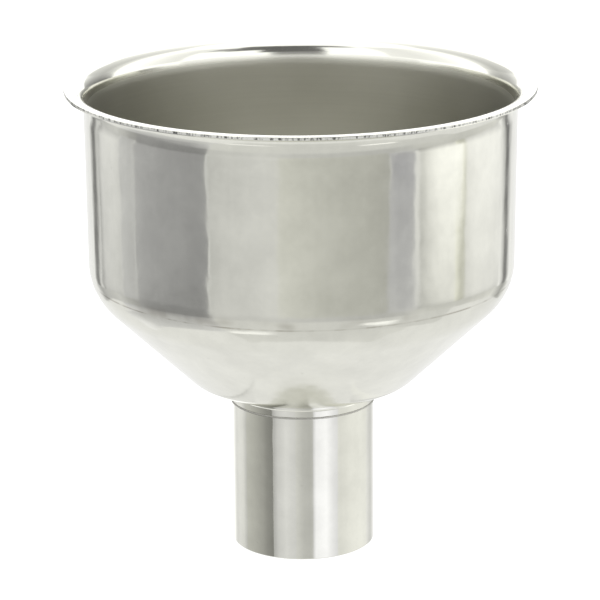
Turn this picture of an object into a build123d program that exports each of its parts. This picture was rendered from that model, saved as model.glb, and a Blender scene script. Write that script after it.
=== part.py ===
from build123d import *

import os
from math import cos, radians, sin

# A small straight-sided steel funnel that stands upright on its spout.
# Units are millimetres and degrees. The origin is the centre of the spout's lower
# end, and +Z runs up the funnel's axis to the mouth.

# Whole funnel
HEIGHT = 55.4  # lower end of the spout to the top of the lip
LIP_RADIUS = 27.25  # outer edge of the lip that is turned out round the mouth

# Spout, a straight tube pushed up into the bowl's collar. Its end is drawn in
# slightly where the collar hides it, so that it enters easily.
SPOUT_RADIUS = 8.35
SPOUT_SHEET = 0.4
SPOUT_TOP = 18.7
SPOUT_LEAD_IN = 0.05

# Bowl, deep-drawn from one disc of sheet. Its sizes are those of the outer skin,
# and each slope is the run's rise above level, going outwards from the axis.
SHEET = 0.4
COLLAR_SHEET = 0.3  # thinned where the neck is drawn down
COLLAR_BOTTOM = 17.6
FLOOR_HEIGHT = 19.57  # underside of the floor, where it would meet the collar
FLOOR_SLOPE = 3.0
CONE_FOOT_RADIUS = 14.0  # a point on the cone
CONE_FOOT_HEIGHT = 21.23
CONE_SLOPE = 43.8
WALL_RADIUS = 25.03  # at the height where the wall starts to turn out
WALL_SLOPE = 89.5
FLARE_HEIGHT = 52.7  # that height
FLARE_SLOPE = 81.5  # of the short flare between the wall and the lip

# Bends between those runs, measured on the outer skin
NECK_BEND = 1.0
FLOOR_BEND = 4.0
SHOULDER_BEND = 6.85
FLARE_BEND = 8.0
LIP_BEND = 1.6

# Weld seam, the fillet that closes the step under the collar
SEAM_LEG = 0.22

COLLAR_RADIUS = SPOUT_RADIUS + COLLAR_SHEET
LIP_UNDERSIDE = HEIGHT - SHEET

# Straight runs of the bowl's outer skin, from the collar out to the lip:
# a point on the run as (radius, height), its slope and the sheet's thickness.
RUNS = [
    ((COLLAR_RADIUS, COLLAR_BOTTOM), 90.0, COLLAR_SHEET),
    ((COLLAR_RADIUS, FLOOR_HEIGHT), FLOOR_SLOPE, SHEET),
    ((CONE_FOOT_RADIUS, CONE_FOOT_HEIGHT), CONE_SLOPE, SHEET),
    ((WALL_RADIUS, FLARE_HEIGHT), WALL_SLOPE, SHEET),
    ((WALL_RADIUS, FLARE_HEIGHT), FLARE_SLOPE, SHEET),
    ((LIP_RADIUS, LIP_UNDERSIDE), 0.0, SHEET),
]


def crossing(first, second):
    """Corner where two straight runs, each a point and a slope, would meet."""
    (r1, z1), slope1 = first
    (r2, z2), slope2 = second
    toward = (cos(radians(slope1)), sin(radians(slope1)))
    across = (-sin(radians(slope2)), cos(radians(slope2)))
    gap = (r2 - r1) * across[0] + (z2 - z1) * across[1]
    travel = gap / (toward[0] * across[0] + toward[1] * across[1])
    return (r1 + travel * toward[0], z1 + travel * toward[1])


def corners(runs):
    """Corners between neighbouring runs."""
    return [crossing(first, second) for first, second in zip(runs, runs[1:])]


def inner_side(run):
    """The same run on the inner skin, one sheet thickness away."""
    (radius, height), slope, sheet = run
    lean = radians(slope)
    return ((radius - sheet * sin(lean), height + sheet * cos(lean)), slope)


def bowl():
    """Lip, flare, wall, cone, floor and collar, all one sheet."""
    outer = corners([(point, slope) for point, slope, _ in RUNS])
    inner = corners([inner_side(run) for run in RUNS])
    # The neck, the flare and the lip bend outwards, so their inner bends are the larger.
    outer_bends = [NECK_BEND, FLOOR_BEND, SHOULDER_BEND, FLARE_BEND, LIP_BEND]
    inner_bends = [
        NECK_BEND + COLLAR_SHEET,
        FLOOR_BEND - SHEET,
        SHOULDER_BEND - SHEET,
        FLARE_BEND + SHEET,
        LIP_BEND + SHEET,
    ]
    foot = [(SPOUT_RADIUS, COLLAR_BOTTOM), (COLLAR_RADIUS, COLLAR_BOTTOM)]
    edge = [(LIP_RADIUS, LIP_UNDERSIDE), (LIP_RADIUS, HEIGHT)]
    outline = FilletPolyline(
        *foot,
        *outer,
        *edge,
        *reversed(inner),
        radius=[0, 0, *outer_bends, 0, 0, *reversed(inner_bends)],
        close=True,
    )
    return turned(make_face(Plane.XZ * outline))


def spout():
    """Straight tube, cut square at both ends, with a lead-in inside the collar."""
    outline = Polyline(
        (SPOUT_RADIUS - SPOUT_SHEET, 0),
        (SPOUT_RADIUS, 0),
        (SPOUT_RADIUS, COLLAR_BOTTOM),
        (SPOUT_RADIUS - SPOUT_LEAD_IN, SPOUT_TOP),
        (SPOUT_RADIUS - SPOUT_SHEET, SPOUT_TOP),
        close=True,
    )
    return turned(make_face(Plane.XZ * outline))


def weld_seam():
    """Fillet between the collar's lower edge and the spout."""
    root = (SPOUT_RADIUS, COLLAR_BOTTOM)
    rim = (SPOUT_RADIUS + SEAM_LEG, COLLAR_BOTTOM)
    toe = (SPOUT_RADIUS, COLLAR_BOTTOM - SEAM_LEG)
    outline = Polyline(root, rim, toe, close=True)
    return turned(make_face(Plane.XZ * outline))


def turned(section):
    """Solid made by one full turn of an XZ section about the funnel's axis."""
    return revolve(section, axis=Axis.Z, revolution_arc=360)


def main():
    os.makedirs("parts", exist_ok=True)
    for make in (bowl, spout, weld_seam):
        export_step(make(), f"parts/{make.__name__}.step")


main()
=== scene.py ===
from math import cos, pi, radians, sin, sqrt

import bmesh
import bpy
from bpy.props import (
    FloatProperty,
    FloatVectorProperty,
    IntProperty,
    PointerProperty,
)
from mathutils import Matrix, Vector


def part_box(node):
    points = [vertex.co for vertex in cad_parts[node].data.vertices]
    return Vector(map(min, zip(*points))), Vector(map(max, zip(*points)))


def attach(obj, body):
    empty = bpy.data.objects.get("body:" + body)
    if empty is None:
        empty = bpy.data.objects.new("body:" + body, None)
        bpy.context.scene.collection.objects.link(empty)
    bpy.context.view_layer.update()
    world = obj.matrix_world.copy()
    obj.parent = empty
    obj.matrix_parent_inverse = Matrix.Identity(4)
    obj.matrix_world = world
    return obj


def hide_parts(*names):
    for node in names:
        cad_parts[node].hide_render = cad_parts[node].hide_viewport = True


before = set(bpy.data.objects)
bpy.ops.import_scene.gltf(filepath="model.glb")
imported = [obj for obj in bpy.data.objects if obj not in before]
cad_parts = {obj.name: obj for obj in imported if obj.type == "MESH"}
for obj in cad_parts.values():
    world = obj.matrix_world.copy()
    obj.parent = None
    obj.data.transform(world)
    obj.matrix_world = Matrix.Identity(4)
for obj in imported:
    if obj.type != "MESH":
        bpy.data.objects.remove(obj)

bl_info = {
    "name": "Small steel funnel",
    "version": (1, 0, 0),
    "blender": (4, 5, 0),
    "location": "3D View > Sidebar > Funnel",
    "description": "Makes a deep-drawn steel funnel with a short spout, and a plain studio for it",
    "category": "Object",
}

MM = 0.001

# Heights of the lines that drawing leaves round the bowl
UPPER_DRAW_LINE = 33.0 * MM
LOWER_DRAW_LINE = 31.6 * MM
CREASE = 33.5 * MM  # high in the bend under the wall, where darker patches are painted
NECK_LINE = 18.5 * MM  # half way up the neck

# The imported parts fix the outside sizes. Everything else hangs from them.
BOWL_LOW, BOWL_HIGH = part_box("bowl")
SPOUT_LOW, SPOUT_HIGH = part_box("spout")
SEAM_LOW, SEAM_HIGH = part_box("weld_seam")


# ----- Sizes and finishes that a user would change -----

def length(name, description, default):
    return FloatProperty(
        name=name, description=description, default=default, unit="LENGTH", precision=5
    )


def angle(name, description, degrees):
    return FloatProperty(
        name=name, description=description, default=radians(degrees), subtype="ANGLE"
    )


def share(name, description, default):
    return FloatProperty(
        name=name, description=description, default=default, min=0, max=1, subtype="FACTOR"
    )


def colour(name, description, default):
    return FloatVectorProperty(
        name=name, description=description, default=default, size=3, min=0, max=2, subtype="COLOR"
    )


class FunnelSizes(bpy.types.PropertyGroup):
    lip_radius: length("Lip radius", "Outer edge of the turned-out lip", BOWL_HIGH.x)
    mouth_height: length("Mouth height", "Top of the lip", BOWL_HIGH.z)
    collar_bottom: length("Collar bottom", "Lower edge of the neck drawn from the floor", BOWL_LOW.z)
    spout_radius: length("Spout radius", "Outside of the tube", SPOUT_HIGH.x)
    spout_top: length("Spout top", "Upper end of the tube", SPOUT_HIGH.z)
    sheet: length("Sheet", "Thickness of the bowl and the tube", 0.4 * MM)
    collar_sheet: length("Collar sheet", "Thickness of the drawn neck", 0.14 * MM)
    wall_radius: length("Wall radius", "Outside of the wall under the flare", 25.03 * MM)
    wall_slope: angle("Wall slope", "Rise of the wall above level", 89.5)
    cone_foot_radius: length("Cone foot radius", "Radius of a point on the cone", 14.0 * MM)
    cone_foot_height: length("Cone foot height", "Height of that point", 21.23 * MM)
    cone_slope: angle("Cone slope", "Rise of the cone above level", 43.8)
    floor_height: length("Floor height", "Underside of the floor at the collar", 19.57 * MM)
    floor_slope: angle("Floor slope", "Rise of the floor above level", 3.0)
    neck_bend: length("Neck bend", "Bend from the collar to the floor, outside", 1.0 * MM)
    floor_bend: length("Floor bend", "Bend from the floor to the cone, outside", 4.0 * MM)
    shoulder_bend: length("Shoulder bend", "Bend from the cone to the wall, outside", 6.85 * MM)
    flare_height: length("Flare height", "Where the wall starts to turn out", 52.7 * MM)
    flare_slope: angle("Flare slope", "Rise of the flare above level", 81.5)
    flare_bend: length("Flare bend", "Bend from the wall to the flare, outside", 8.0 * MM)
    lip_bend: length("Lip bend", "Bend from the flare to the lip, outside", 1.6 * MM)
    lip_droop: length("Lip droop", "How far the lip's outer edge hangs", 0.10 * MM)
    droop_width: length("Droop width", "How much of the lip hangs", 0.7 * MM)
    edge_break: length("Edge break", "Width of the broken edge at each cut", 0.04 * MM)
    spout_edge_break: length("Spout edge break", "The same at the spout's end", 0.11 * MM)
    segments: IntProperty(
        name="Segments", description="Faces around the axis", default=256, min=32, max=1024
    )
    step: length("Step", "Longest face along the section", 0.42 * MM)


class FunnelFinish(bpy.types.PropertyGroup):
    steel: colour("Steel", "Colour of the polished steel", (0.72, 0.718, 0.655))
    satin: colour("Satin steel", "Colour of the brushed steel inside the bowl", (0.56, 0.555, 0.50))
    shear: colour("Sheared steel", "Colour of the raw cut edges", (0.50, 0.50, 0.47))
    weld: colour("Weld", "Colour of the weld seam", (0.42, 0.415, 0.385))
    # Colour of the crease's darker patches and of the painted shade along the draw line
    patch_and_shade_colour: colour("Stain", "Colour of the polish left in the crease", (0.34, 0.32, 0.27))
    polish: share("Polish", "Roughness of the polished steel", 0.085)
    brushing: share("Brushing", "Roughness of the steel inside the bowl", 0.30)
    waviness: length("Waviness", "Depth of the waves that the drawing leaves", 0.030 * MM)
    draw_line_depth: length("Draw line depth", "Depth of the two lines there", 0.02 * MM)
    lip_roughness: length("Lip roughness", "Depth of the tears in the lip's edge", 0.02 * MM)
    end_roughness: length("End roughness", "The same at the spout's end", 0.004 * MM)
    seed: FloatProperty(name="Seed", description="Picks the pattern of the waves", default=3.0)


class FunnelStudio(bpy.types.PropertyGroup):
    view_distance: length("View distance", "Level distance from axis to camera", 347.2 * MM)
    view_height: length("View height", "Height of the camera above the floor", 130.5 * MM)
    view_pitch: angle("View pitch", "How far the camera looks down", 16.24)
    view_pan: angle("View pan", "How far the camera turns to its left", 0.039)
    view_roll: angle("View roll", "How far the camera leans to its right", 0.42)
    focal_length: FloatProperty(
        name="Focal length", description="Lens of the camera", default=184.7, unit="CAMERA"
    )
    light: FloatProperty(name="Light", description="Brightness of the white room", default=1.0)
    sky: FloatProperty(name="Sky", description="How much brighter the room is above", default=1.6)
    floor_glow: share("Floor glow", "Share of the floor's white that no shadow darkens", 0.84)


# ----- Node wiring -----

class Wiring:
    """Adds nodes to a tree and joins them, so that a tree reads as a list of steps."""

    def __init__(self, tree):
        self.tree = tree

    def node(self, kind, sockets=None, **settings):
        made = self.tree.nodes.new(kind)
        for name, value in settings.items():
            setattr(made, name, value)
        for key, value in (sockets or {}).items():
            self.feed(made.inputs[key], value)
        return made

    def feed(self, socket, value):
        if isinstance(value, bpy.types.NodeSocket):
            self.tree.links.new(value, socket)
        else:
            socket.default_value = value

    def math(self, operation, *values, clamp=False):
        made = self.node("ShaderNodeMath", operation=operation, use_clamp=clamp)
        for socket, value in zip(made.inputs, values):
            self.feed(socket, value)
        return made.outputs[0]

    def vector(self, operation, *values):
        made = self.node("ShaderNodeVectorMath", operation=operation)
        for socket, value in zip(made.inputs, values):
            self.feed(socket, value)
        return made.outputs[0]

    def scaled(self, vector, factor):
        made = self.node("ShaderNodeVectorMath", {0: vector, "Scale": factor}, operation="SCALE")
        return made.outputs[0]

    def join(self, x, y, z):
        return self.node("ShaderNodeCombineXYZ", {0: x, 1: y, 2: z}).outputs[0]

    def split(self, vector):
        return self.node("ShaderNodeSeparateXYZ", {0: vector}).outputs

    def noise(self, vector, scale, detail=2.0, roughness=0.5):
        sockets = {"Vector": vector, "Scale": scale, "Detail": detail, "Roughness": roughness}
        return self.node("ShaderNodeTexNoise", sockets).outputs[0]

    def mixed(self, level, first, second):
        """First colour at level 0 and second colour at level 1."""
        made = self.node("ShaderNodeMix", data_type="RGBA")
        for number, value in ((0, level), (6, first), (7, second)):
            self.feed(made.inputs[number], value)
        return made.outputs[2]

    def spread(self, value, low, high, to_low, to_high, smooth=False):
        made = self.node(
            "ShaderNodeMapRange",
            {0: value, 1: low, 2: high, 3: to_low, 4: to_high},
            interpolation_type="SMOOTHSTEP" if smooth else "LINEAR",
        )
        return made.outputs[0]

    def bell(self, value, centre, width):
        """1 where the value is at the centre, fading to 0 within about two widths."""
        away = self.math("DIVIDE", self.math("SUBTRACT", value, centre), width)
        return self.math("EXPONENT", self.math("MULTIPLY", self.math("POWER", away, 2), -1))

    def seeded(self, place, seed):
        """The place, moved so far that another seed picks another stretch of noise."""
        return self.vector("ADD", place, self.scaled(self.join(0.37, 0.61, 0.83), seed))


# ----- Turned sheet: the rule that makes the bowl and the spout -----

EDGE_FACES = 4  # faces across the sheet's cut edge
BEND_POINTS = 14  # points that each bend adds
DRAW_LINE_WIDTH = 0.22 * MM
SHARP_TURN = radians(32)  # edges that turn by more than this stay sharp
SAME_PLACE = 1e-7  # points closer than this, in metres, are one
SAME_NUMBER = 0.1  # whole numbers closer than this are the same
SKIN = 0.99  # share of the half thickness beyond which a face is on a skin

# Noise that moves the sheet, in waves to the metre, and how the flutes are drawn out upwards
WAVES = 90.0
FLUTES = 260.0
TEARS = 5200.0
FLUTE_STRETCH = (1.0, 1.0, 0.12)

# Inputs of a turned sheet, after its corners and bends: label, kind and default
SHEET_INPUTS = (
    ("Foot Sheet", "NodeSocketFloat", 0.4 * MM),
    ("Sheet", "NodeSocketFloat", 0.4 * MM),
    ("Sheet Rise Bottom", "NodeSocketFloat", 0.0),
    ("Sheet Rise Top", "NodeSocketFloat", 1.0 * MM),
    ("Segments", "NodeSocketInt", 256),
    ("Step", "NodeSocketFloat", 0.4 * MM),
    ("Edge Break", "NodeSocketFloat", 0.04 * MM),
    ("Edge Roughness", "NodeSocketFloat", 0.0),
    ("Waviness", "NodeSocketFloat", 0.0),
    ("Flutes", "NodeSocketFloat", 0.0),
    ("Draw Line Depth", "NodeSocketFloat", 0.0),
    ("Upper Draw Line", "NodeSocketFloat", 0.0),
    ("Lower Draw Line", "NodeSocketFloat", 0.0),
    ("Lip Droop", "NodeSocketFloat", 0.0),
    ("Droop Start", "NodeSocketFloat", 1.0),
    ("Droop End", "NodeSocketFloat", 2.0),
    ("Seed", "NodeSocketFloat", 0.0),
    ("First Skin", "NodeSocketMaterial", None),
    ("Second Skin", "NodeSocketMaterial", None),
    ("Cut Edge", "NodeSocketMaterial", None),
)


def new_shape_tree(name, inputs):
    """A tree with these inputs and one mesh output, and its wiring and inputs' sockets."""
    tree = bpy.data.node_groups.new(name, "GeometryNodeTree")
    for label, kind, default in inputs:
        made = tree.interface.new_socket(label, in_out="INPUT", socket_type=kind)
        if default is not None:
            made.default_value = default
    tree.interface.new_socket("Mesh", in_out="OUTPUT", socket_type="NodeSocketGeometry")
    w = Wiring(tree)
    return tree, w, w.node("NodeGroupInput").outputs


def point_count(w, line):
    """How many points a line has."""
    return w.node("GeometryNodeAttributeDomainSize", {0: line}, component="CURVE").outputs[0]


def sampled(w, line, field, number):
    """A vector field's value at a numbered point of the line."""
    return w.node(
        "GeometryNodeSampleIndex",
        {"Geometry": line, "Value": field, "Index": number},
        data_type="FLOAT_VECTOR",
        domain="POINT",
    ).outputs[0]


def rounded_line(w, size, corners, bends):
    """A line through the corners, rounded at each by that corner's bend."""
    index = w.node("GeometryNodeInputIndex").outputs[0]

    def by_corner(data_type, values):
        switch = w.node("GeometryNodeIndexSwitch", data_type=data_type)
        while len(switch.index_switch_items) < len(values):
            switch.index_switch_items.new()
        w.feed(switch.inputs["Index"], index)
        for number, value in enumerate(values):
            w.feed(switch.inputs[1 + number], value)
        return switch.outputs[0]

    places = by_corner("VECTOR", [size[corner] for corner in corners])
    points = w.node("GeometryNodePoints", {"Count": len(corners), "Position": places})
    line = w.node("GeometryNodePointsToCurves", {"Points": points.outputs[0]}).outputs[0]
    if not bends:
        return line
    radii = by_corner("FLOAT", [0.0, *[size[bend] for bend in bends], 0.0])
    return w.node(
        "GeometryNodeFilletCurve",
        {"Curve": line, "Count": BEND_POINTS, "Radius": radii},
        mode="POLY",
    ).outputs[0]


def cut_line(w, size, line):
    """The line with its straight runs cut into steps."""
    index = w.node("GeometryNodeInputIndex").outputs[0]
    position = w.node("GeometryNodeInputPosition").outputs[0]
    last = w.math("SUBTRACT", point_count(w, line), 1)
    following = w.node(
        "GeometryNodeFieldAtIndex",
        {"Index": w.math("MINIMUM", w.math("ADD", index, 1), last), "Value": position},
        data_type="FLOAT_VECTOR",
        domain="POINT",
    ).outputs[0]
    gap = w.node("ShaderNodeVectorMath", {0: following, 1: position}, operation="DISTANCE")
    cuts = w.math("FLOOR", w.math("DIVIDE", gap.outputs["Value"], size["Step"]))
    return w.node("GeometryNodeSubdivideCurve", {"Curve": line, "Cuts": cuts}).outputs[0]


def break_end(w, size, line):
    """The line with its last step made as short as the broken edge."""
    index = w.node("GeometryNodeInputIndex").outputs[0]
    position = w.node("GeometryNodeInputPosition").outputs[0]
    tangent = w.node("GeometryNodeInputTangent").outputs[0]
    count = point_count(w, line)
    last = w.math("SUBTRACT", count, 1)
    back = w.scaled(sampled(w, line, tangent, last), size["Edge Break"])
    broken = w.vector("SUBTRACT", sampled(w, line, position, last), back)
    next_to_last = w.math("COMPARE", index, w.math("SUBTRACT", count, 2), SAME_NUMBER)
    return w.node(
        "GeometryNodeSetPosition",
        {"Geometry": line, "Selection": next_to_last, "Position": broken},
    ).outputs[0]


def sheet_grid(w, size, line):
    """A flat grid that is wrapped into the sheet, and where each of its points belongs.

    Its columns go along the first skin, over the cut edge and back along the second. Each
    point's number on the line, whether that is the last one, its steps round the axis and
    its side of the sheet, from 1 on the first skin to -1 on the second, are given back."""
    index = w.node("GeometryNodeInputIndex").outputs[0]
    count = point_count(w, line)
    last = w.math("SUBTRACT", count, 1)
    columns = w.math("ADD", w.math("MULTIPLY", count, 2), EDGE_FACES - 1)
    around = w.math("ADD", size["Segments"], 1)
    grid = w.node(
        "GeometryNodeMeshGrid",
        {"Size X": 1, "Size Y": 1, "Vertices X": w.math("ADD", columns, 1), "Vertices Y": around},
    ).outputs["Mesh"]
    # The small amounts that are added keep rounding from dropping a whole number.
    column = w.math("FLOOR", w.math("DIVIDE", w.math("ADD", index, 0.5), around))
    turn = w.math("SUBTRACT", index, w.math("MULTIPLY", column, around))
    loop = w.math("FLOOR", w.math("MODULO", w.math("ADD", column, 0.01), columns))
    back = w.math("SUBTRACT", w.math("SUBTRACT", columns, 1), loop)
    at = w.math("MINIMUM", w.math("MINIMUM", loop, last), back)
    over_edge = w.math("SUBTRACT", loop, last)
    side = w.math("SUBTRACT", 1, w.math("MULTIPLY", over_edge, 2 / EDGE_FACES))
    side = w.math("MINIMUM", w.math("MAXIMUM", side, -1), 1)
    at_end = w.math("COMPARE", at, last, SAME_NUMBER)
    return grid, at, at_end, turn, side


def half_thickness(w, size, height, at_end):
    """Half the sheet, thinner at the foot, and at the end by the broken edge on each skin."""
    sheet = w.spread(
        height,
        size["Sheet Rise Bottom"],
        size["Sheet Rise Top"],
        size["Foot Sheet"],
        size["Sheet"],
        smooth=True,
    )
    lost = w.math("MULTIPLY", at_end, w.math("MULTIPLY", size["Edge Break"], 2))
    return w.math("MULTIPLY", w.math("SUBTRACT", sheet, lost), 0.5)


def worked_outwards(w, size, ring, height, at_end):
    """How far drawing and cutting moved the sheet outwards. It moves both skins together."""
    seeded = w.seeded(ring, size["Seed"])

    def wave(place, scale, detail, depth):
        level = w.math("SUBTRACT", w.noise(place, scale, detail), 0.5)
        return w.math("MULTIPLY", level, w.math("MULTIPLY", depth, 2))

    offset = wave(seeded, WAVES, 1.0, size["Waviness"])
    upright = w.vector("MULTIPLY", seeded, FLUTE_STRETCH)
    offset = w.math("ADD", offset, wave(upright, FLUTES, 1.0, size["Flutes"]))
    for draw_line in ("Upper Draw Line", "Lower Draw Line"):
        mark = w.bell(height, size[draw_line], DRAW_LINE_WIDTH)
        offset = w.math("SUBTRACT", offset, w.math("MULTIPLY", mark, size["Draw Line Depth"]))
    tear = wave(ring, TEARS, 3.0, size["Edge Roughness"])
    return w.math("ADD", offset, w.math("MULTIPLY", tear, at_end))


def hang(w, size, out):
    """How far the lip hangs at this radius."""
    share_out = w.spread(out, size["Droop Start"], size["Droop End"], 0.0, 1.0)
    return w.math("MULTIPLY", w.math("POWER", share_out, 2), size["Lip Droop"])


def turned_sheet_tree(name, corners, bends):
    """Geometry nodes that turn a sheet's bent centreline round Z and give it its thickness."""
    inputs = [
        *[(corner, "NodeSocketVector", None) for corner in corners],
        *[(bend, "NodeSocketFloat", 0.0) for bend in bends],
        *SHEET_INPUTS,
    ]
    tree, w, size = new_shape_tree(name, inputs)
    line = rounded_line(w, size, corners, bends)
    line = break_end(w, size, cut_line(w, size, line))
    grid, at, at_end, turn, side = sheet_grid(w, size, line)

    # Section through the sheet, in the XZ plane
    middle = sampled(w, line, w.node("GeometryNodeInputPosition").outputs[0], at)
    along = w.split(sampled(w, line, w.node("GeometryNodeInputTangent").outputs[0], at))
    across = w.join(along[2], 0.0, w.math("MULTIPLY", along[0], -1))
    middle_out, _, height = w.split(middle)
    reach = w.math("MULTIPLY", half_thickness(w, size, height, at_end), side)
    out, _, up = w.split(w.vector("ADD", middle, w.scaled(across, reach)))

    # The section turned round Z
    bearing = w.math("MULTIPLY", turn, w.math("DIVIDE", 2 * pi, size["Segments"]))
    compass = w.join(w.math("COSINE", bearing), w.math("SINE", bearing), 0.0)
    ring = w.vector("ADD", w.scaled(compass, middle_out), w.join(0.0, 0.0, height))
    out = w.math("ADD", out, worked_outwards(w, size, ring, height, at_end))
    up = w.math("SUBTRACT", up, hang(w, size, middle_out))
    place = w.vector("ADD", w.scaled(compass, out), w.join(0.0, 0.0, up))
    mesh = w.node("GeometryNodeSetPosition", {"Geometry": grid, "Position": place}).outputs[0]

    # Which skin a face is on outlasts the merge of the seams.
    mesh = w.node(
        "GeometryNodeStoreNamedAttribute",
        {"Geometry": mesh, "Name": "skin", "Value": side},
        data_type="FLOAT",
        domain="FACE",
    ).outputs[0]
    mesh = w.node(
        "GeometryNodeMergeByDistance", {"Geometry": mesh, "Distance": SAME_PLACE}
    ).outputs[0]
    mesh = finished(w, mesh, SHARP_TURN)
    skin = w.node("GeometryNodeInputNamedAttribute", {"Name": "skin"}, data_type="FLOAT").outputs[0]
    materials = (
        ("Cut Edge", True),
        ("First Skin", w.math("GREATER_THAN", skin, SKIN)),
        ("Second Skin", w.math("LESS_THAN", skin, -SKIN)),
    )
    close_shape_tree(w, size, mesh, materials)
    return tree


def close_shape_tree(w, size, mesh, materials):
    """Ends a tree with real faces and their materials, each an input's label and a choice."""
    mesh = w.node("GeometryNodeRealizeInstances", {"Geometry": mesh}).outputs[0]
    for label, chosen in materials:
        mesh = w.node(
            "GeometryNodeSetMaterial",
            {"Geometry": mesh, "Selection": chosen, "Material": size[label]},
        ).outputs[0]
    w.tree.links.new(mesh, w.node("NodeGroupOutput").inputs[0])


def finished(w, mesh, sharp_above):
    """Smooth shading, but for edges that turn by more than this angle."""
    mesh = w.node("GeometryNodeSetShadeSmooth", {"Geometry": mesh}, domain="FACE").outputs[0]
    turn = w.node("GeometryNodeInputMeshEdgeAngle").outputs[0]
    sharp = w.math("GREATER_THAN", turn, sharp_above)
    return w.node(
        "GeometryNodeSetShadeSmooth",
        {"Geometry": mesh, "Selection": sharp, "Shade Smooth": False},
        domain="EDGE",
    ).outputs[0]


RIPPLE_FACES = 5  # faces along each ripple of the weld
BEAD_FACES = 12  # faces round its section
POOL_LEAN = 2.0 / MM  # how much each pool's front leans back towards the bead's edges
SWELL = 5  # how much higher the bead's slow swelling is than its ripples
SWELLS = 900.0  # noise of that swelling, in waves to the metre

BEAD_INPUTS = (
    ("Ring Radius", "NodeSocketFloat", 8.4 * MM),
    ("Ring Height", "NodeSocketFloat", 17.5 * MM),
    ("Bead Radius", "NodeSocketFloat", 0.12 * MM),
    ("Ripples", "NodeSocketInt", 200),
    ("Ripple Depth", "NodeSocketFloat", 0.012 * MM),
    ("Seed", "NodeSocketFloat", 0.0),
    ("Weld", "NodeSocketMaterial", None),
)


def weld_bead_tree():
    """Geometry nodes for a thin ring whose surface ripples as a run of weld pools."""
    tree, w, size = new_shape_tree("Weld bead", BEAD_INPUTS)
    position = w.node("GeometryNodeInputPosition").outputs[0]
    segments = w.math("MULTIPLY", size["Ripples"], RIPPLE_FACES)
    ring = w.node(
        "GeometryNodeCurvePrimitiveCircle", {"Resolution": segments, "Radius": size["Ring Radius"]}
    ).outputs[0]
    bead = w.node(
        "GeometryNodeCurvePrimitiveCircle",
        {"Resolution": BEAD_FACES, "Radius": size["Bead Radius"]},
    ).outputs[0]
    mesh = w.node("GeometryNodeCurveToMesh", {"Curve": ring, "Profile Curve": bead}).outputs[0]
    x, y, z = w.split(position)
    bearing = w.math("ARCTAN2", y, x)
    lean = w.math("MULTIPLY", w.math("ABSOLUTE", z), POOL_LEAN)
    phase = w.math("ADD", w.math("MULTIPLY", bearing, size["Ripples"]), lean)
    ripple = w.math("MULTIPLY", w.math("SINE", phase), size["Ripple Depth"])
    swell = w.math("SUBTRACT", w.noise(w.seeded(position, size["Seed"]), SWELLS, 2.0), 0.5)
    swell = w.math("MULTIPLY", swell, w.math("MULTIPLY", size["Ripple Depth"], SWELL))
    normal = w.node("GeometryNodeInputNormal").outputs[0]
    lift = w.vector(
        "ADD", w.scaled(normal, w.math("ADD", ripple, swell)), w.join(0.0, 0.0, size["Ring Height"])
    )
    mesh = w.node("GeometryNodeSetPosition", {"Geometry": mesh, "Offset": lift}).outputs[0]
    close_shape_tree(w, size, finished(w, mesh, pi), [("Weld", True)])
    return tree


def new_object(name, data):
    """An object in the scene that holds this mesh or camera."""
    made = bpy.data.objects.new(name, data)
    bpy.context.scene.collection.objects.link(made)
    return made


def grown(name, tree, values):
    """A plain mesh object from a tree whose inputs are given by name."""
    made = new_object(name, bpy.data.meshes.new(name))
    modifier = made.modifiers.new("Shape", "NODES")
    modifier.node_group = tree
    inputs = {
        item.name: item.identifier
        for item in tree.interface.items_tree
        if item.in_out == "INPUT"
    }
    for label, value in values.items():
        modifier[inputs[label]] = value
    graph = bpy.context.evaluated_depsgraph_get()
    mesh = bpy.data.meshes.new_from_object(made.evaluated_get(graph))
    made.modifiers.clear()
    made.data = mesh
    mesh.name = name
    if not mesh.polygons:
        raise RuntimeError(f"{name} came out empty")
    if signed_volume(mesh) < 0:
        mesh.flip_normals()
    return made


def signed_volume(mesh):
    """The mesh's volume, which is negative if its faces point inwards."""
    mesh.calc_loop_triangles()
    total = 0.0
    for triangle in mesh.loop_triangles:
        a, b, c = (mesh.vertices[i].co for i in triangle.vertices)
        total += a.dot(b.cross(c))
    return total / 6


def put_in_place(piece, node):
    """Lets a finished piece stand for a CAD node."""
    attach(piece, "root")
    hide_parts(node)


# ----- Steel finishes -----

# How fine each texture is, in cells to the metre
SMUDGES = 210.0
BUFF_LINES = 1500.0
BUFF_RINGS = 2600.0
DENTS = 230.0
PEEL = 760.0
PITS = 380.0
CREASE_PATCHES = 110.0
# Breaks in the line of painted shade along the draw line
SHADE_LINE_BREAKS = 260.0
SATIN_RINGS = 2400.0
SATIN_CLOUDS = 120.0
TORN_GRAIN = 2600.0
HEAT_CLOUDS = 260.0
WELD_GRAIN = 5200.0

# How deep each relief is, with hollows below 0
BOWL_LINE_DEPTH = 0.0009 * MM
TUBE_LINE_DEPTH = 0.0016 * MM
BUFF_RING_DEPTH = 0.0003 * MM
DENT_DEPTH = 0.034 * MM
PEEL_DEPTH = 0.0022 * MM
PIT_DEPTH = -0.004 * MM
NECK_LINE_DEPTH = -0.03 * MM
SATIN_RING_DEPTH = 0.0016 * MM
SATIN_CLOUD_DEPTH = 0.004 * MM
TEAR_DEPTH = 0.02 * MM
WELD_GRAIN_DEPTH = 0.002 * MM

LINE_STRETCH = 0.02  # how little a fine line's noise changes along the line
PIT_RADIUS = 0.08  # of a cell
PITTED = 0.2  # share of the cells that hold a pit
FLARE_STARTS = BOWL_HIGH.z - 2.5 * MM  # where the satin inside gives way to polish
FLARE_POLISHED = BOWL_HIGH.z - 1.8 * MM  # where it has given way


def new_material(name):
    """An empty material and its wiring."""
    made = bpy.data.materials.new(name)
    made.use_nodes = True
    made.node_tree.nodes.clear()
    return made, Wiring(made.node_tree)


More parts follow.
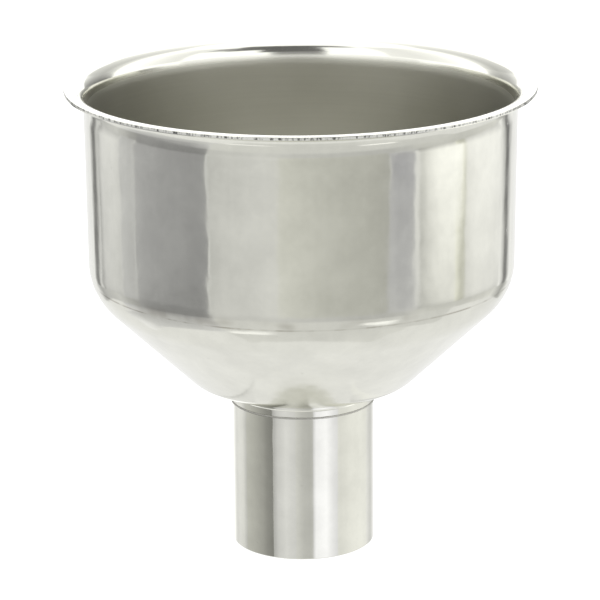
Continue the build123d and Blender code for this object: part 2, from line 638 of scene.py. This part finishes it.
def close_material(w, shade, roughness, relief):
    """Ends a material as bare metal."""
    sockets = {"Base Color": shade, "Roughness": roughness, "Metallic": 1.0, "Normal": relief}
    shader = w.node("ShaderNodeBsdfPrincipled", sockets)
    output = w.node("ShaderNodeOutputMaterial")
    w.tree.links.new(shader.outputs[0], output.inputs[0])


def tinted(w, level, base, low, high):
    """The base colour times low where the level is 0 and times high where it is 1."""
    darker = (*[low * value for value in base], 1)
    lighter = (*[min(1, high * value) for value in base], 1)
    return w.mixed(level, darker, lighter)


def bump(w, level, depth, after=None):
    """Relief of this depth in metres, laid over an earlier relief."""
    made = w.node("ShaderNodeBump", {"Strength": 1.0, "Distance": depth, "Height": level})
    if after:
        w.feed(made.inputs["Normal"], after)
    return made.outputs[0]


def object_place(w):
    return w.node("ShaderNodeTexCoord").outputs["Object"]


def ring_lines(w, place, fineness):
    """Fine lines that run round the axis, on upright and on level faces alike."""
    x, y, z = w.split(place)
    out = w.math("SQRT", w.math("ADD", w.math("POWER", x, 2), w.math("POWER", y, 2)))
    grain = w.join(
        w.math("MULTIPLY", x, LINE_STRETCH),
        w.math("MULTIPLY", y, LINE_STRETCH),
        w.math("ADD", z, out),
    )
    return w.noise(grain, fineness, 3.0, 0.6)


def upright_lines(w, place, fineness):
    """Fine lines that run along the axis."""
    grain = w.vector("MULTIPLY", place, (1.0, 1.0, LINE_STRETCH))
    return w.noise(grain, fineness, 3.0, 0.6)


def pits(w, place):
    """1 in the few tiny pits, 0 elsewhere."""
    cells = w.node("ShaderNodeTexVoronoi", {"Vector": place, "Scale": PITS}, feature="F1")
    rare = w.math("GREATER_THAN", w.split(cells.outputs["Color"])[0], 1 - PITTED)
    distance = cells.outputs["Distance"]
    inside = w.spread(distance, PIT_RADIUS * 0.5, PIT_RADIUS, 1.0, 0.0, smooth=True)
    return w.math("MULTIPLY", rare, inside)


def polished_steel(finish, name, line_depth, drawn):
    """Buffed steel: faint upright lines, soft smudges, orange peel and a few pits.

    Drawn steel also has a line round its neck, darker patches in its crease and a line of painted shade
    along its draw line."""
    made, w = new_material(name)
    place = object_place(w)
    smudge = w.spread(w.noise(place, SMUDGES, 5.0, 0.6), 0.34, 0.66, 0.0, 1.0)
    lines = upright_lines(w, place, BUFF_LINES)
    rings = ring_lines(w, place, BUFF_RINGS)
    dents = w.noise(w.vector("MULTIPLY", place, (1.0, 1.0, 0.6)), DENTS, 2.0, 0.6)
    peel = w.noise(place, PEEL, 3.0, 0.6)
    pit = pits(w, place)

    level = w.math("ADD", w.math("MULTIPLY", smudge, 0.75), w.math("MULTIPLY", lines, 0.25))
    level = w.math("SUBTRACT", level, w.math("MULTIPLY", pit, 0.9), clamp=True)
    shade = tinted(w, level, finish.steel, 0.93, 1.07)
    if drawn:
        # Painted shade along the draw line, and darker patches in the crease
        shade = w.mixed(crease_patches_and_shade(w, place), shade, (*finish.patch_and_shade_colour, 1))

    rough = w.spread(smudge, 0.0, 1.0, finish.polish * 0.8, finish.polish * 1.4)
    rough = w.math("ADD", rough, w.math("MULTIPLY", lines, 0.02))
    rough = w.math("ADD", rough, w.math("MULTIPLY", pit, 0.15))

    relief = bump(w, lines, line_depth)
    relief = bump(w, rings, BUFF_RING_DEPTH, relief)
    relief = bump(w, dents, DENT_DEPTH, relief)
    relief = bump(w, peel, PEEL_DEPTH, relief)
    relief = bump(w, pit, PIT_DEPTH, relief)
    if drawn:
        neck = w.bell(w.split(place)[2], NECK_LINE, 0.09 * MM)
        relief = bump(w, neck, NECK_LINE_DEPTH, relief)
    close_material(w, shade, rough, relief)
    return made


def crease_patches_and_shade(w, place):
    """Darker patches painted along the crease, and a broken line of painted shade along the draw line.
    """
    height = w.split(place)[2]
    near = w.bell(height, CREASE, 0.6 * MM)
    patch = w.spread(w.noise(place, CREASE_PATCHES, 3.0, 0.6), 0.54, 0.70, 0.0, 0.5, smooth=True)
    # A line of painted shade in the draw line's groove
    line = w.bell(height, UPPER_DRAW_LINE, 0.10 * MM)
    broken = w.spread(w.noise(place, SHADE_LINE_BREAKS, 3.0, 0.6), 0.40, 0.62, 0.15, 0.75, smooth=True)
    return w.math(
        "MAXIMUM", w.math("MULTIPLY", near, patch), w.math("MULTIPLY", line, broken)
    )


def satin_steel(finish):
    """Steel inside the bowl: brushed round the axis, and polished up at the flare."""
    made, w = new_material("satin_steel")
    place = object_place(w)
    height = w.split(place)[2]
    flare = w.spread(height, FLARE_STARTS, FLARE_POLISHED, 0.0, 1.0, smooth=True)
    rings = ring_lines(w, place, SATIN_RINGS)
    cloud = w.noise(place, SATIN_CLOUDS, 4.0, 0.6)
    level = w.math("ADD", w.math("MULTIPLY", rings, 0.5), w.math("MULTIPLY", cloud, 0.5))
    shade = tinted(w, level, finish.satin, 0.9, 1.1)
    shade = w.mixed(flare, shade, (*finish.steel, 1))
    dull = w.math("ADD", w.math("MULTIPLY", cloud, 0.08), finish.brushing)
    rough = w.math(
        "SUBTRACT", dull, w.math("MULTIPLY", flare, finish.brushing - finish.polish)
    )
    relief = bump(w, rings, SATIN_RING_DEPTH)
    relief = bump(w, cloud, SATIN_CLOUD_DEPTH, relief)
    close_material(w, shade, rough, relief)
    return made


def sheared_steel(finish):
    """Raw cut edge, bright where it was burnished and dark in its torn grain."""
    made, w = new_material("sheared_steel")
    place = object_place(w)
    tear = w.noise(w.vector("MULTIPLY", place, (1.0, 1.0, 0.35)), TORN_GRAIN, 5.0, 0.7)
    level = w.spread(tear, 0.40, 0.52, 0.0, 1.0)
    shade = tinted(w, level, finish.shear, 0.25, 1.5)
    rough = w.spread(tear, 0.3, 0.7, 0.5, 0.3)
    close_material(w, shade, rough, bump(w, tear, TEAR_DEPTH))
    return made


def weld_steel(finish):
    """Fused steel, a little dull and straw-coloured."""
    made, w = new_material("weld_steel")
    place = object_place(w)
    heat = w.noise(place, HEAT_CLOUDS, 3.0, 0.6)
    grain = w.noise(place, WELD_GRAIN, 3.0, 0.6)
    shade = tinted(w, heat, finish.weld, 0.7, 1.3)
    rough = w.spread(grain, 0.3, 0.7, 0.38, 0.5)
    close_material(w, shade, rough, bump(w, grain, WELD_GRAIN_DEPTH))
    return made


# ----- Pieces -----

FLUTE_SHARE = 0.2  # depth of the upright flutes against the waves


def crossing(first, second):
    """Corner where two straight runs, each a point and a slope, would meet."""
    (r1, z1), slope1 = first
    (r2, z2), slope2 = second
    toward = (cos(slope1), sin(slope1))
    across = (-sin(slope2), cos(slope2))
    gap = (r2 - r1) * across[0] + (z2 - z1) * across[1]
    travel = gap / (toward[0] * across[0] + toward[1] * across[1])
    return Vector((r1 + travel * toward[0], 0, z1 + travel * toward[1]))


def inward(point, slope, distance):
    """The same run, moved towards the inside of the bowl."""
    return ((point[0] - distance * sin(slope), point[1] + distance * cos(slope)), slope)


class FUNNEL_OT_bowl(bpy.types.Operator):
    """Make the bowl: lip, flare, wall, cone, floor and collar in one drawn sheet"""

    bl_idname = "funnel.bowl"
    bl_label = "Bowl"

    CORNERS = (
        "Collar Foot",
        "Neck Corner",
        "Floor Corner",
        "Shoulder Corner",
        "Flare Corner",
        "Lip Corner",
        "Lip Edge",
    )
    BENDS = ("Neck Bend", "Floor Bend", "Shoulder Bend", "Flare Bend", "Lip Bend")

    def execute(self, context):
        sizes = context.scene.funnel_sizes
        finish = context.scene.funnel_finish
        half = sizes.sheet / 2
        collar_half = sizes.collar_sheet / 2
        collar_middle = sizes.spout_radius + collar_half
        lip_middle = sizes.mouth_height - half
        collar = ((collar_middle, sizes.collar_bottom), pi / 2)
        ground = ((sizes.spout_radius, sizes.floor_height), sizes.floor_slope)
        cone = ((sizes.cone_foot_radius, sizes.cone_foot_height), sizes.cone_slope)
        wall = ((sizes.wall_radius, sizes.flare_height), sizes.wall_slope)
        flare = ((sizes.wall_radius, sizes.flare_height), sizes.flare_slope)
        lip = ((sizes.lip_radius, lip_middle), 0.0)
        runs = [collar, *[inward(*run, half) for run in (ground, cone, wall, flare)], lip]
        corners = [
            Vector((collar_middle, 0, sizes.collar_bottom)),
            *[crossing(a, b) for a, b in zip(runs, runs[1:])],
            Vector((sizes.lip_radius, 0, lip_middle)),
        ]
        # A bend towards the inside loses half the sheet at its middle, and the others gain it.
        bends = [
            sizes.neck_bend + collar_half,
            sizes.floor_bend - half,
            sizes.shoulder_bend - half,
            sizes.flare_bend + half,
            sizes.lip_bend + half,
        ]
        values = dict(zip(self.CORNERS, corners))
        values.update(zip(self.BENDS, bends))
        values.update({
            "Foot Sheet": sizes.collar_sheet,
            "Sheet": sizes.sheet,
            "Sheet Rise Bottom": sizes.floor_height - sizes.neck_bend,
            "Sheet Rise Top": sizes.floor_height,
            "Segments": sizes.segments,
            "Step": sizes.step,
            "Edge Break": sizes.edge_break,
            "Edge Roughness": finish.lip_roughness,
            "Waviness": finish.waviness,
            "Flutes": finish.waviness * FLUTE_SHARE,
            "Draw Line Depth": finish.draw_line_depth,
            "Upper Draw Line": UPPER_DRAW_LINE,
            "Lower Draw Line": LOWER_DRAW_LINE,
            "Lip Droop": sizes.lip_droop,
            "Droop Start": sizes.lip_radius - sizes.droop_width,
            "Droop End": sizes.lip_radius,
            "Seed": finish.seed,
            "First Skin": polished_steel(finish, "polished_steel", BOWL_LINE_DEPTH, drawn=True),
            "Second Skin": satin_steel(finish),
            "Cut Edge": sheared_steel(finish),
        })
        tree = turned_sheet_tree("Drawn bowl", self.CORNERS, self.BENDS)
        put_in_place(grown("bowl_drawn", tree, values), "bowl")
        return {"FINISHED"}


class FUNNEL_OT_spout(bpy.types.Operator):
    """Make the spout: a straight tube, cut square at both ends"""

    bl_idname = "funnel.spout"
    bl_label = "Spout"

    CORNERS = ("Upper End", "Lower End")
    WAVE_SHARE = 0.3  # depth of its waves against the bowl's
    SEED_STEP = 5  # keeps its waves from matching the bowl's

    def execute(self, context):
        sizes = context.scene.funnel_sizes
        finish = context.scene.funnel_finish
        middle = sizes.spout_radius - sizes.sheet / 2
        values = {
            "Upper End": Vector((middle, 0, sizes.spout_top)),
            "Lower End": Vector((middle, 0, SPOUT_LOW.z)),
            "Foot Sheet": sizes.sheet,
            "Sheet": sizes.sheet,
            "Segments": sizes.segments,
            "Step": sizes.step,
            "Edge Break": sizes.spout_edge_break,
            "Edge Roughness": finish.end_roughness,
            "Waviness": finish.waviness * self.WAVE_SHARE,
            "Flutes": finish.waviness * FLUTE_SHARE,
            "Seed": finish.seed + self.SEED_STEP,
            "First Skin": satin_steel(finish),
            "Second Skin": polished_steel(finish, "polished_tube", TUBE_LINE_DEPTH, drawn=False),
            "Cut Edge": sheared_steel(finish),
        }
        tree = turned_sheet_tree("Straight tube", self.CORNERS, ())
        put_in_place(grown("spout_tube", tree, values), "spout")
        return {"FINISHED"}


class FUNNEL_OT_weld_seam(bpy.types.Operator):
    """Make the weld seam that closes the step between the collar and the spout"""

    bl_idname = "funnel.weld_seam"
    bl_label = "Weld seam"

    RIPPLES = 200

    # Shares of the seam's leg
    INSET = 0.70  # from its outer edge in to the bead's middle
    DROP = 0.42  # from its top down to the bead's middle
    ROUND = 0.66  # radius of the bead
    RIPPLE_DEPTH = 0.05

    def execute(self, context):
        finish = context.scene.funnel_finish
        leg = SEAM_HIGH.z - SEAM_LOW.z
        values = {
            "Ring Radius": SEAM_HIGH.x - leg * self.INSET,
            "Ring Height": SEAM_HIGH.z - leg * self.DROP,
            "Bead Radius": leg * self.ROUND,
            "Ripples": self.RIPPLES,
            "Ripple Depth": leg * self.RIPPLE_DEPTH,
            "Seed": finish.seed,
            "Weld": weld_steel(finish),
        }
        bead = grown("weld_bead", weld_bead_tree(), values)
        put_in_place(bead, "weld_seam")
        return {"FINISHED"}


# ----- Studio -----

CARD_DISTANCE = 900 * MM
CARD_GAP = 1 * MM  # each card stands this much nearer than the one before it
CARD_MIDDLE = Vector((0, 0, 30 * MM))
CARD_COLUMN = 3  # width of a card's faces, in degrees
CARD_ROW = 4  # their height, in degrees

# Painted cards that the steel mirrors. Each has its lowest and highest elevation, how much
# brighter its foot is than its head, how blue its white is, and its brightness at a few
# bearings. Bearing 0 is the camera's side and 90 its right; all angles are in degrees.
WALL = (-18.3, -9)  # what the bowl's wall mirrors
SHOULDER = (-25, -18.3)  # what the bend under the wall mirrors
CARDS = [
    # For the wall, from its left edge to its right one
    (
        "left_edge_flag", *WALL, 1.5, 1.0,
        ((-149, 0.92), (-145.5, 0.50), (-143.5, 0.20), (-139.5, 0.20), (-137, 0.56), (-134, 0.66)),
    ),
    ("left_panel", *WALL, 0.62, 1.01, ((-134, 0.62), (-129, 1.06), (-116, 1.12), (-110.5, 1.02))),
    ("left_panel_side", *WALL, 0.9, 1.03, ((-110, 0.76), (-104, 0.70), (-98.5, 0.66))),
    ("left_flag", -16.3, -9, 1.0, 1.04, ((-98, 0.54), (-80, 0.47), (-58, 0.40), (-50, 0.41))),
    ("left_flag_base", -18.3, -16.3, 0.8, 1.03, ((-98, 0.46), (-80, 0.38), (-58, 0.33), (-50, 0.36))),
    ("front_left", *WALL, 1.14, 1.0, ((-49, 0.64), (-42, 0.70), (-20, 0.76), (-12, 0.77))),
    ("front_right", *WALL, 1.08, 0.95, ((-12, 0.78), (4, 0.68), (14, 0.62), (34, 0.585), (46, 0.53))),
    ("blue_strip", -13.5, -9, 1.08, 1.07, ((46.5, 0.58), (47.5, 0.50), (60, 0.54), (61, 0.68))),
    (
        "blue_strip_end", -16.4, -13.5, 1.05, 1.05,
        ((46, 0.62), (50, 0.60), (51, 0.54), (60, 0.57), (61, 0.68)),
    ),
    ("strip_foot", -18.3, -16.4, 1.1, 1.03, ((46, 0.60), (50, 0.66), (64, 0.66))),
    ("right_panel", *WALL, 0.45, 0.985, ((64, 1.0), (70, 1.45), (76, 1.70), (88, 1.78), (95.5, 1.62))),
    (
        "right_streak", -18.3, -14.2, 0.74, 0.90,
        ((88.5, 1.30), (91.5, 0.82), (96.5, 0.76), (99.5, 1.15)),
    ),
    ("right_streak_tip", -14.2, -11.5, 0.86, 0.92, ((92, 1.5), (94, 0.98), (96.5, 0.94), (98, 1.3))),
    ("right_side", *WALL, 0.6, 1.0, ((95.5, 1.30), (104, 1.45), (118, 1.45), (130, 1.35))),
    (
        "right_edge_flag", *WALL, 1.4, 1.0,
        ((131, 0.95), (135, 0.60), (138, 0.20), (141.5, 0.20), (144.5, 0.62), (150, 0.94)),
    ),
    # For the bend under the wall and for the cone
    (
        "left_low", *SHOULDER, 1.0, 1.0,
        ((-149, 0.9), (-141, 0.5), (-134, 0.62), (-116, 0.78), (-98, 0.44)),
    ),
    ("flag_low", *SHOULDER, 1.05, 1.03, ((-98, 0.40), (-80, 0.34), (-58, 0.31), (-50, 0.36))),
    ("front_low", *SHOULDER, 1.0, 1.0, ((-50, 0.74), (-20, 0.80), (14, 0.68), (46, 0.62), (62, 0.72))),
    (
        "right_low", *SHOULDER, 1.1, 0.98,
        ((62, 0.72), (80, 0.76), (98, 0.72), (128, 0.9), (141, 0.45), (150, 0.9)),
    ),
    ("flag_foot", -31, -25, 1.35, 1.03, ((-118, 0.76), (-98, 0.50), (-62, 0.46), (-50, 0.60))),
    ("flag_ground", -46, -31, 1.25, 1.02, ((-125, 0.95), (-108, 0.66), (-66, 0.62), (-50, 0.72))),
    (
        "front_ground", -42, -25, 1.0, 0.99,
        ((-50, 0.84), (-10, 0.84), (30, 0.80), (52, 0.80), (90, 0.86)),
    ),
    ("front_table", -67, -42, 1.0, 0.99, ((-50, 0.90), (-20, 0.82), (30, 0.84), (70, 0.92))),
    ("right_glint", -38, -32, 1.0, 1.0, ((32, 0.85), (38, 1.35), (52, 1.35), (57, 0.85))),
    ("left_glint", -49, -44, 1.0, 1.0, ((-50, 0.9), (-44, 1.35), (-24, 1.30), (-16, 0.85))),
    # For the flare and the lip
    ("camera_flag", 23, 66, 1.0, 1.0, ((-15, 0.24), (-10, 0.18), (20, 0.16), (24, 0.18))),
    ("camera_arm", 40, 66, 1.0, 1.0, ((24, 0.18), (38, 0.22), (46, 0.3), (50, 0.6))),
    ("camera_arm_end", 46, 58, 1.0, 1.0, ((50, 0.4), (62, 0.6), (68, 1.1))),
    ("camera_side", 54, 66, 1.0, 1.0, ((-42, 1.1), (-32, 0.5), (-15, 0.24))),
    ("camera_body", 0, 23, 1.0, 1.0, ((-15, 0.8), (-11, 0.38), (12, 0.38), (17, 0.8))),
    ("low_front", -1, 9, 0.6, 1.0, ((-70, 1.4), (-18, 1.2), (18, 1.2), (70, 1.4))),
    (
        "left_post_foot", 4, 22, 0.6, 1.0,
        ((-162, 1.3), (-150, 0.85), (-139, 0.75), (-131, 0.9), (-124, 1.3)),
    ),
    ("left_post", 22, 60, 0.62, 1.0, ((-170, 1.6), (-156, 1.2), (-139, 1.0), (-131, 1.3), (-124, 1.6))),
    (
        "right_post_foot", 4, 22, 0.3, 1.0,
        ((124, 1.3), (131, 0.75), (139, 0.62), (150, 0.75), (162, 1.2)),
    ),
    ("right_post", 22, 60, 0.62, 1.0, ((124, 1.6), (131, 1.3), (139, 1.0), (156, 1.2), (170, 1.6))),
    ("left_dim", 12, 62, 1.0, 1.0, ((-104, 1.55), (-90, 1.3), (-72, 1.14), (-50, 1.2))),
    ("right_dim", 12, 62, 1.0, 1.0, ((70, 1.14), (76, 1.14), (90, 1.3), (104, 1.55))),
    # For the far side of the lip
    ("rear_wall", 4, 34, 1.0, 1.0, ((164, 1.7), (180, 1.7), (196, 1.7))),
    ("rear_low", -8, 4, 1.0, 1.0, ((110, 0.9), (130, 0.34), (180, 0.30), (230, 0.34), (250, 0.9))),
]

# Cards in a ring close round the spout, which only the spout and the neck mirror. Bearings
# are those of the mirrored light, as above.
RING_RADIUS = 12 * MM
RING_HEIGHTS = (-4 * MM, 17.2 * MM)
RING_CARDS = [
    ("tube_rear", 1.0, ((-175, 1.4), (-156, 1.25), (-148, 1.02))),
    ("tube_left", 1.0, ((-148, 1.02), (-141, 0.88), (-128, 0.98), (-116, 0.93), (-106, 0.68))),
    ("tube_flag", 0.96, ((-106, 0.67), (-88, 0.58), (-70, 0.46), (-61, 0.36), (-50, 0.30))),
    ("tube_front", 1.02, ((-49, 0.60), (-42, 0.80), (-28, 0.95), (-12, 0.83))),
    ("tube_strip", 0.99, ((-12, 0.83), (-1, 0.68), (10, 0.62), (15, 0.66))),
    ("tube_glow", 1.06, ((16, 0.86), (21, 1.22), (38, 1.34), (50, 1.10), (58, 0.98))),
    ("tube_right", 0.98, ((58, 0.98), (64, 0.96), (88, 1.06), (110, 1.10), (126, 1.04))),
    ("tube_edge", 1.0, ((126, 1.04), (140, 0.80), (148, 0.78), (158, 0.98))),
]


WHITE = (1, 1, 1, 1)
FLOOR_GREY = (0.34, 0.34, 0.34, 1)
DUSK = (-0.12, 0.04)  # heights between which the room brightens, as shares of its radius


def from_bearing(bearing, elevation, distance):
    """Point at this bearing and elevation, in degrees, from the middle of the studio."""
    turn, rise = radians(bearing), radians(elevation)
    return CARD_MIDDLE + distance * Vector(
        (sin(turn) * cos(rise), -cos(turn) * cos(rise), sin(rise))
    )


def on_ring(bearing, height):
    """Where light that the spout mirrors towards this bearing meets the ring of cards."""
    turn = radians(bearing)
    tube = SPOUT_HIGH.x * Vector((sin(turn / 2), -cos(turn / 2), 0))
    reach = sqrt(RING_RADIUS**2 - (SPOUT_HIGH.x * sin(turn / 2)) ** 2)
    travel = reach - SPOUT_HIGH.x * cos(turn / 2)
    return tube + travel * Vector((sin(turn), -cos(turn), 0)) + Vector((0, 0, height))


def make_card(name, blue, stops, levels, place):
    """A curved card painted with light, which only the steel sees and only from inside.

    Levels are the rows from foot to head, each with its share of the card's brightness, and
    place turns a bearing and a level into a point."""
    columns = []
    for (start, first), (end, last) in zip(stops, stops[1:]):
        count = max(1, round((end - start) / CARD_COLUMN))
        columns += [
            (start + (end - start) * i / count, first + (last - first) * i / count)
            for i in range(count)
        ]
    columns.append(stops[-1])
    form = bmesh.new()
    paint = form.verts.layers.float_color.new("paint")
    grid = []
    for level, factor in levels:
        line = []
        for bearing, glow in columns:
            vertex = form.verts.new(place(bearing, level))
            shade = glow * factor
            vertex[paint] = (shade, shade, shade * blue, 1)
            line.append(vertex)
        grid.append(line)
    for lower, upper in zip(grid, grid[1:]):
        for i in range(len(columns) - 1):
            form.faces.new((lower[i], upper[i], upper[i + 1], lower[i + 1]))
    mesh = bpy.data.meshes.new(name)
    form.to_mesh(mesh)
    form.free()
    card = new_object(name, mesh)
    card.visible_camera = False
    card.visible_diffuse = False
    card.visible_shadow = False
    mesh.materials.append(bpy.data.materials.get("painted_light") or painted_light())


def far_card(name, low, high, foot, blue, stops, distance):
    """A card far off, between two elevations."""
    rows = max(2, round((high - low) / CARD_ROW))
    levels = [
        (low + (high - low) * j / rows, foot + (1 - foot) * j / rows) for j in range(rows + 1)
    ]

    def place(bearing, elevation):
        return from_bearing(bearing, elevation, distance)

    make_card(name, blue, stops, levels, place)


def near_card(name, blue, stops):
    """A card in the ring round the spout."""
    make_card(name, blue, stops, [(height, 1.0) for height in RING_HEIGHTS], on_ring)


def one_sided(w, shader):
    """Ends a material with this shader on the front of its faces and nothing on the back."""
    back = w.node("ShaderNodeNewGeometry").outputs["Backfacing"]
    clear = w.node("ShaderNodeBsdfTransparent")
    shown = w.node("ShaderNodeMixShader", {0: back, 1: shader, 2: clear.outputs[0]})
    w.tree.links.new(shown.outputs[0], w.node("ShaderNodeOutputMaterial").inputs[0])


def painted_light():
    """Light of the colour that each card is painted with."""
    made, w = new_material("painted_light")
    paint = w.node("ShaderNodeAttribute", attribute_name="paint").outputs["Color"]
    glow = w.node("ShaderNodeEmission", {"Color": paint, "Strength": 1.0})
    one_sided(w, glow.outputs[0])
    return made


def make_floor(studio):
    """A pale floor that a shadow darkens only a little, open from below."""
    reach = 4.0
    corners = [(-reach, -reach, 0), (reach, -reach, 0), (reach, reach, 0), (-reach, reach, 0)]
    mesh = bpy.data.meshes.new("floor")
    mesh.from_pydata(corners, [], [(0, 1, 2, 3)])
    floor = new_object("floor", mesh)
    floor.visible_glossy = False
    made, w = new_material("pale_floor")
    matt = w.node("ShaderNodeBsdfDiffuse", {"Color": FLOOR_GREY})
    glow = w.node("ShaderNodeEmission", {"Color": WHITE, "Strength": studio.floor_glow})
    both = w.node("ShaderNodeAddShader", {0: matt.outputs[0], 1: glow.outputs[0]})
    one_sided(w, both.outputs[0])
    mesh.materials.append(made)


def make_world(studio):
    """A white room that is brighter above the horizon than below it."""
    world = bpy.data.worlds.new("white_room")
    world.use_nodes = True
    w = Wiring(world.node_tree)
    height = w.split(w.node("ShaderNodeTexCoord").outputs["Generated"])[2]
    light = w.spread(height, *DUSK, studio.light, studio.light * studio.sky, smooth=True)
    background = world.node_tree.nodes["Background"]
    w.feed(background.inputs["Strength"], light)
    w.feed(background.inputs["Color"], WHITE)
    bpy.context.scene.world = world


def make_camera(studio):
    """A camera in front of the funnel that looks a little down at it."""
    lens = bpy.data.cameras.new("camera")
    lens.sensor_width = 36
    lens.lens = studio.focal_length
    lens.clip_start = 0.01
    lens.clip_end = 20
    camera = new_object("camera", lens)
    lean = Matrix.Rotation(-studio.view_roll, 4, "Z")
    tilt = Matrix.Rotation(pi / 2 - studio.view_pitch, 4, "X")
    pan = Matrix.Rotation(studio.view_pan, 4, "Z")
    stand = Matrix.Translation((0, -studio.view_distance, studio.view_height))
    camera.matrix_world = stand @ pan @ tilt @ lean
    bpy.context.scene.camera = camera


class FUNNEL_OT_stage(bpy.types.Operator):
    """Set up the plain floor, the soft light, its cards and the camera"""

    bl_idname = "funnel.stage"
    bl_label = "Stage"

    def execute(self, context):
        studio = context.scene.funnel_studio
        make_camera(studio)
        make_world(studio)
        make_floor(studio)
        for number, card in enumerate(CARDS):
            far_card(*card, CARD_DISTANCE - number * CARD_GAP)
        for card in RING_CARDS:
            near_card(*card)
        context.scene.view_settings.view_transform = "Standard"
        return {"FINISHED"}


class FUNNEL_PT_panel(bpy.types.Panel):
    """Lists the funnel's pieces, sizes and finishes"""

    bl_idname = "FUNNEL_PT_panel"
    bl_label = "Small steel funnel"
    bl_space_type = "VIEW_3D"
    bl_region_type = "UI"
    bl_category = "Funnel"

    def draw(self, context):
        layout = self.layout
        for operator in OPERATORS:
            layout.operator(operator.bl_idname)
        for name in GROUPS:
            group = getattr(context.scene, name)
            box = layout.box()
            for field in group.__annotations__:
                box.prop(group, field)


GROUPS = {
    "funnel_sizes": FunnelSizes,
    "funnel_finish": FunnelFinish,
    "funnel_studio": FunnelStudio,
}
OPERATORS = (FUNNEL_OT_stage, FUNNEL_OT_bowl, FUNNEL_OT_spout, FUNNEL_OT_weld_seam)


def register():
    for cls in (*GROUPS.values(), *OPERATORS, FUNNEL_PT_panel):
        bpy.utils.register_class(cls)
    for name, group in GROUPS.items():
        setattr(bpy.types.Scene, name, PointerProperty(type=group))


def unregister():
    for name in GROUPS:
        delattr(bpy.types.Scene, name)
    for cls in reversed((*GROUPS.values(), *OPERATORS, FUNNEL_PT_panel)):
        bpy.utils.unregister_class(cls)


def main():
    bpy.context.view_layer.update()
    register()
    bpy.ops.funnel.stage()
    bpy.ops.funnel.bowl()
    bpy.ops.funnel.spout()
    bpy.ops.funnel.weld_seam()


if __name__ == "__main__":
    main()
